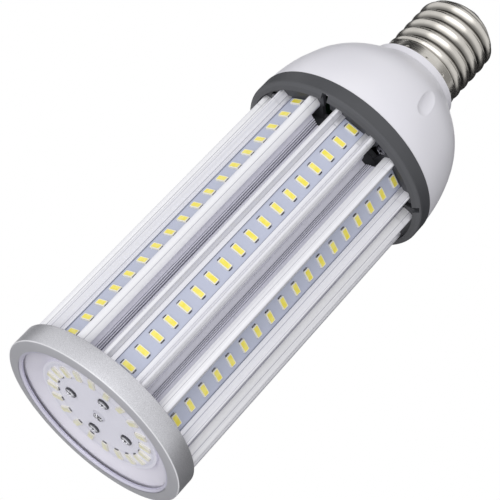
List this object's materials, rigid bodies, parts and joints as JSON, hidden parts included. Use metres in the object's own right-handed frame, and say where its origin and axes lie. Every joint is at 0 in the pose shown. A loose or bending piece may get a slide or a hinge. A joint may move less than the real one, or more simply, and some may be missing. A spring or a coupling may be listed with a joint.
{
  "type": "corn led bulb",
  "caption": "Screw-base LED corn bulb: lit strips around a finned aluminium sleeve, a lit clear-covered end, a white domed driver housing and a mogul screw base.",
  "frame": {"origin": "centre of the rim of the lens end, which the bulb stands on", "axes": "+Z along the bulb's axis towards the screw base; one LED strip faces -Y"},
  "size_m": [0.0932, 0.0932, 0.2685],
  "materials": {
    "extruded_aluminium": "bright extruded and clear anodised",
    "strip_mask": "pale solder mask on an aluminium core",
    "led_phosphor": "yellow phosphor window in a pale package",
    "silver_paint": "fine silver grey paint",
    "clear_plastic": "clear polished plastic",
    "white_paint": "satin white paint",
    "board_mask": "white solder mask on an aluminium core",
    "screw_steel": "bright zinc plate",
    "dark_plastic": "dark grey moulded plastic with a fine satin",
    "white_plastic": "white moulded plastic, satin",
    "nickel_plate": "rolled shell with nickel plate",
    "black_insulator": "dark glassy insulator",
    "contact_solder": "tinned contact",
    "driver_laminate": "green glass laminate",
    "ferrite": "dark grey ferrite",
    "winding_tape": "yellow winding tape",
    "capacitor_sleeve": "dark shrink sleeve",
    "film_case": "dipped orange case",
    "black_epoxy": "moulded black epoxy",
    "fuse_sleeve": "brown sleeve",
    "lead_red": "red insulated wire",
    "lead_black": "black insulated wire"
  },
  "bodies": {
    "root": {"heat_sink": "extruded_aluminium", "led_strip_1": "strip_mask", "led_strip_2": "strip_mask", "led_strip_3": "strip_mask", "led_strip_4": "strip_mask", "led_strip_5": "strip_mask", "led_strip_6": "strip_mask", "led_strip_7": "strip_mask", "led_strip_8": "strip_mask", "strip_leds_1": "led_phosphor", "strip_leds_2": "led_phosphor", "strip_leds_3": "led_phosphor", "strip_leds_4": "led_phosphor", "strip_leds_5": "led_phosphor", "strip_leds_6": "led_phosphor", "strip_leds_7": "led_phosphor", "strip_leds_8": "led_phosphor", "front_ring": "silver_paint", "clear_cover": "clear_plastic", "front_plate": "white_paint", "front_board": "board_mask", "front_leds": "led_phosphor", "front_screws": "screw_steel", "collar_ring": "dark_plastic", "collar_screws": "screw_steel", "driver_housing": "white_plastic", "screw_shell": "nickel_plate", "base_insulator": "black_insulator", "centre_contact": "contact_solder", "driver_board": "driver_laminate", "transformer_core": "ferrite", "transformer_winding": "winding_tape", "bulk_capacitor": "capacitor_sleeve", "output_capacitor": "capacitor_sleeve", "film_capacitor": "film_case", "choke": "ferrite", "rectifier": "black_epoxy", "transistor": "black_epoxy", "fuse": "fuse_sleeve", "base_lead_live": "lead_red", "base_lead_neutral": "lead_black", "front_leads": "lead_red"}
  },
  "joints": []
}
